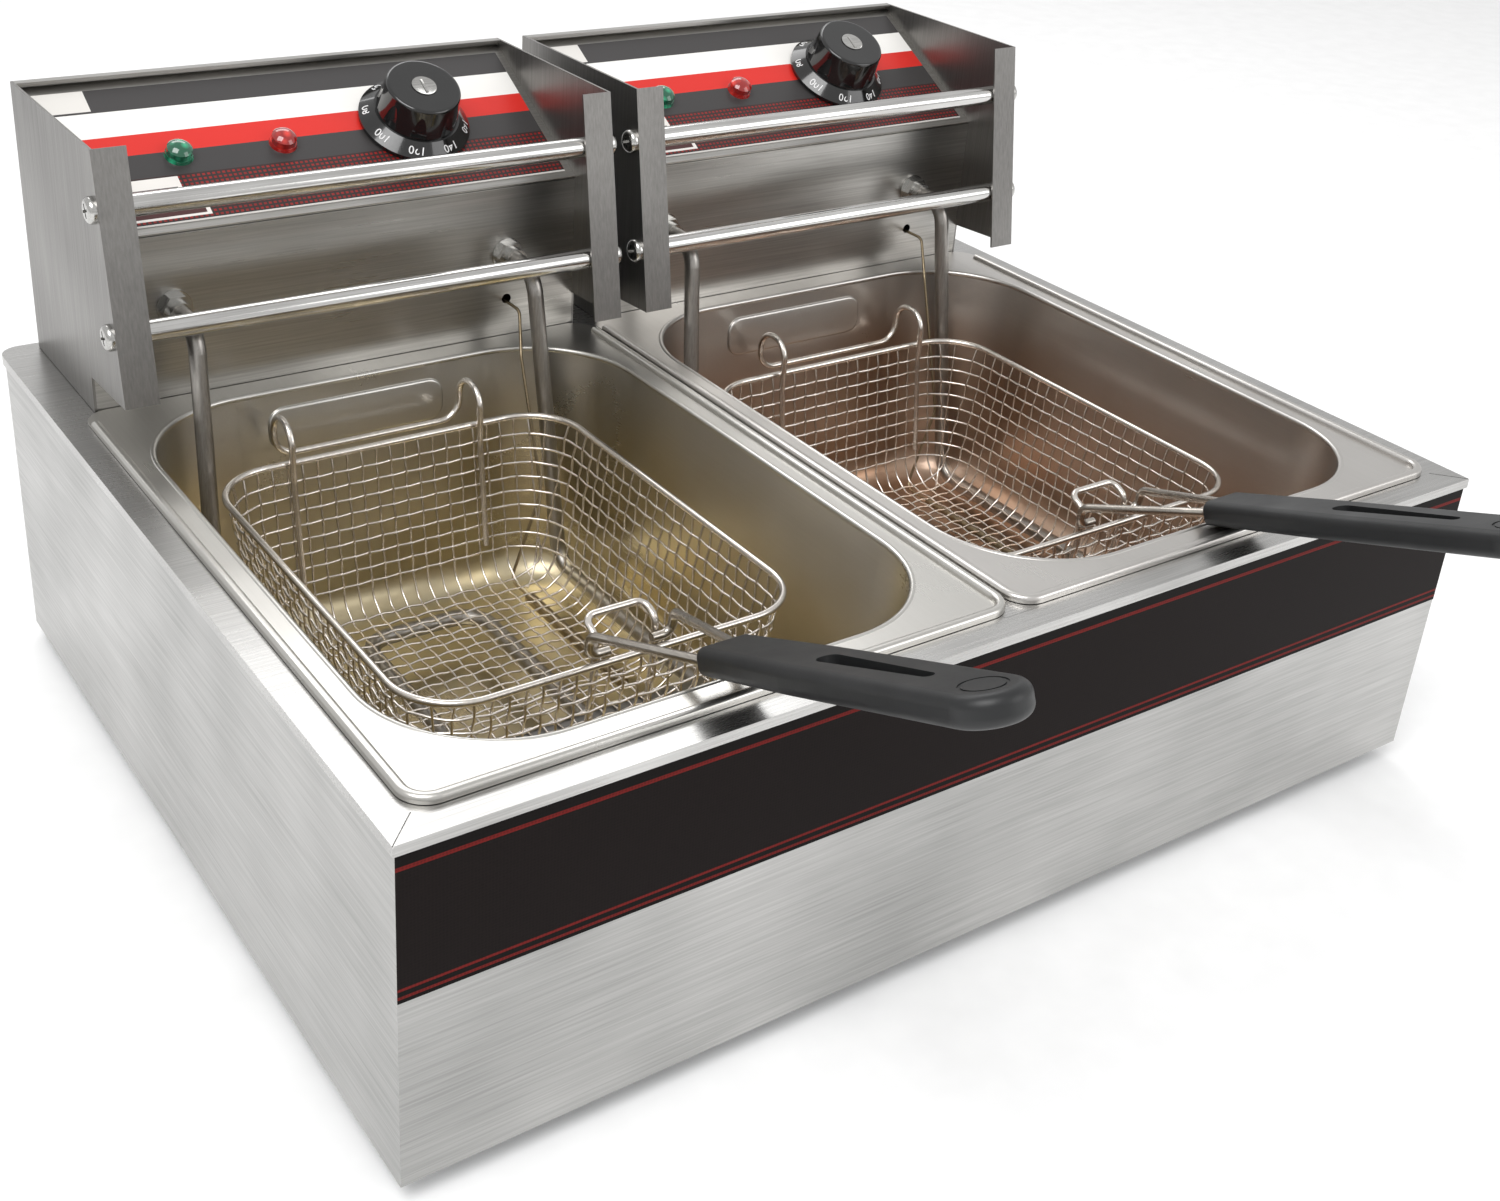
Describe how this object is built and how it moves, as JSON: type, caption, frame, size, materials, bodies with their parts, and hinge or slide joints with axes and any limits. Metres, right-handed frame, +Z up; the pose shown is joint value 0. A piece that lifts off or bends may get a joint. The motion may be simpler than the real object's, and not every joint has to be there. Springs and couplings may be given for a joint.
{
  "type": "deep fryer",
  "caption": "Countertop deep fryer with side-by-side open tanks, lift-off sloping control heads, hanging rods, dip-in heating elements and wire baskets with folding handles.",
  "frame": {"origin": "on the plane of the feet, midway between the casing's sides and midway between the front of the handles and the back of the cable glands", "axes": "+X to the user's right, +Y to the back, +Z up; the baskets' handles point to -Y"},
  "size_m": [0.556, 0.566, 0.2956],
  "materials": {
    "casing_steel": "satin",
    "deck_steel": "satin",
    "galvanised_steel": "dull",
    "printed_strip": "satin print",
    "foot_rubber": "matte",
    "tank_steel": "satin with heat tint",
    "head_steel": "brushed",
    "plate_steel": "dull",
    "rod_chrome": "polished",
    "screw_steel": "bright",
    "printed_panel": "satin print",
    "green_lens": "gloss",
    "red_lens": "gloss",
    "moulded_black": "matte",
    "moulded_white": "matte",
    "element_steel": "dull",
    "sensor_brass": "dull",
    "basket_wire": "bright",
    "handle_steel": "bright",
    "grip_plastic": "satin",
    "knob_black": "gloss"
  },
  "bodies": {
    "casing": {"casing_shell": "casing_steel", "base_plate": "galvanised_steel", "back_panel": "galvanised_steel", "deck_frame": "deck_steel", "middle_rail": "deck_steel", "rear_deck_panel": "deck_steel", "front_strip": "printed_strip", "feet": "foot_rubber"},
    "tank_body_left": {"tank_left": "tank_steel"},
    "head_body_left": {"head_shell_left": "head_steel", "side_plates_left": "plate_steel", "hanging_rods_left": "rod_chrome", "rod_screws_left": "screw_steel", "control_panel_left": "head_steel", "panel_overlay_left": "printed_panel", "green_lamp_left": "green_lens", "red_lamp_left": "red_lens", "thermostat_left": "moulded_black", "heating_element_left": "element_steel", "element_nuts_left": "screw_steel", "element_strap_left": "element_steel", "sensor_bulb_left": "sensor_brass", "overheat_limiter_left": "moulded_black", "terminal_block_left": "moulded_white", "cable_gland_left": "moulded_black"},
    "knob_body_left": {"knob_left": "knob_black", "thermostat_shaft_left": "screw_steel"},
    "reset_body_left": {"reset_button_left": "knob_black"},
    "basket_body_left": {"basket_mesh_left": "basket_wire", "basket_rim_left": "basket_wire", "basket_hooks_left": "basket_wire", "handle_bracket_left": "basket_wire"},
    "handle_body_left": {"handle_wire_left": "handle_steel", "handle_grip_left": "grip_plastic"},
    "tank_body_right": {"tank_right": "tank_steel"},
    "head_body_right": {"head_shell_right": "head_steel", "side_plates_right": "plate_steel", "hanging_rods_right": "rod_chrome", "rod_screws_right": "screw_steel", "control_panel_right": "head_steel", "panel_overlay_right": "printed_panel", "green_lamp_right": "green_lens", "red_lamp_right": "red_lens", "thermostat_right": "moulded_black", "heating_element_right": "element_steel", "element_nuts_right": "screw_steel", "element_strap_right": "element_steel", "sensor_bulb_right": "sensor_brass", "overheat_limiter_right": "moulded_black", "terminal_block_right": "moulded_white", "cable_gland_right": "moulded_black"},
    "knob_body_right": {"knob_right": "knob_black", "thermostat_shaft_right": "screw_steel"},
    "reset_body_right": {"reset_button_right": "knob_black"},
    "basket_body_right": {"basket_mesh_right": "basket_wire", "basket_rim_right": "basket_wire", "basket_hooks_right": "basket_wire", "handle_bracket_right": "basket_wire"},
    "handle_body_right": {"handle_wire_right": "handle_steel", "handle_grip_right": "grip_plastic"}
  },
  "joints": [
    {"name": "tank_lift_left", "type": "slide", "parent": "casing", "child": "tank_body_left", "axis": [0, 0, 1], "range_m": [0, 0.15]},
    {"name": "head_lift_left", "type": "slide", "parent": "tank_body_left", "child": "head_body_left", "axis": [0, 0, 1], "range_m": [0, 0.18]},
    {"name": "basket_lift_left", "type": "slide", "parent": "head_body_left", "child": "basket_body_left", "axis": [0, -0.5, 0.866], "range_m": [0, 0.13]},
    {"name": "handle_fold_left", "type": "hinge", "parent": "basket_body_left", "child": "handle_body_left", "pos_m": [-0.1335, -0.07326, 0.1421], "axis": [-1, 0, 0], "range_deg": [0, 110]},
    {"name": "knob_turn_left", "type": "hinge", "parent": "head_body_left", "child": "knob_body_left", "pos_m": [-0.0785, 0.22966, 0.26486], "axis": [0, -0.4909, 0.8712], "range_deg": [-290, 0]},
    {"name": "reset_press_left", "type": "slide", "parent": "head_body_left", "child": "reset_body_left", "axis": [0, -1, 0], "range_m": [0, 0.002], "stiffness_N_per_m": 800},
    {"name": "tank_lift_right", "type": "slide", "parent": "casing", "child": "tank_body_right", "axis": [0, 0, 1], "range_m": [0, 0.15]},
    {"name": "head_lift_right", "type": "slide", "parent": "tank_body_right", "child": "head_body_right", "axis": [0, 0, 1], "range_m": [0, 0.18]},
    {"name": "basket_lift_right", "type": "slide", "parent": "head_body_right", "child": "basket_body_right", "axis": [0, -0.5, 0.866], "range_m": [0, 0.13]},
    {"name": "handle_fold_right", "type": "hinge", "parent": "basket_body_right", "child": "handle_body_right", "pos_m": [0.1335, -0.07326, 0.1331], "axis": [-1, 0, 0], "range_deg": [0, 110]},
    {"name": "knob_turn_right", "type": "hinge", "parent": "head_body_right", "child": "knob_body_right", "pos_m": [0.1885, 0.22966, 0.26486], "axis": [0, -0.4909, 0.8712], "range_deg": [-290, 0]},
    {"name": "reset_press_right", "type": "slide", "parent": "head_body_right", "child": "reset_body_right", "axis": [0, -1, 0], "range_m": [0, 0.002], "stiffness_N_per_m": 800}
  ]
}
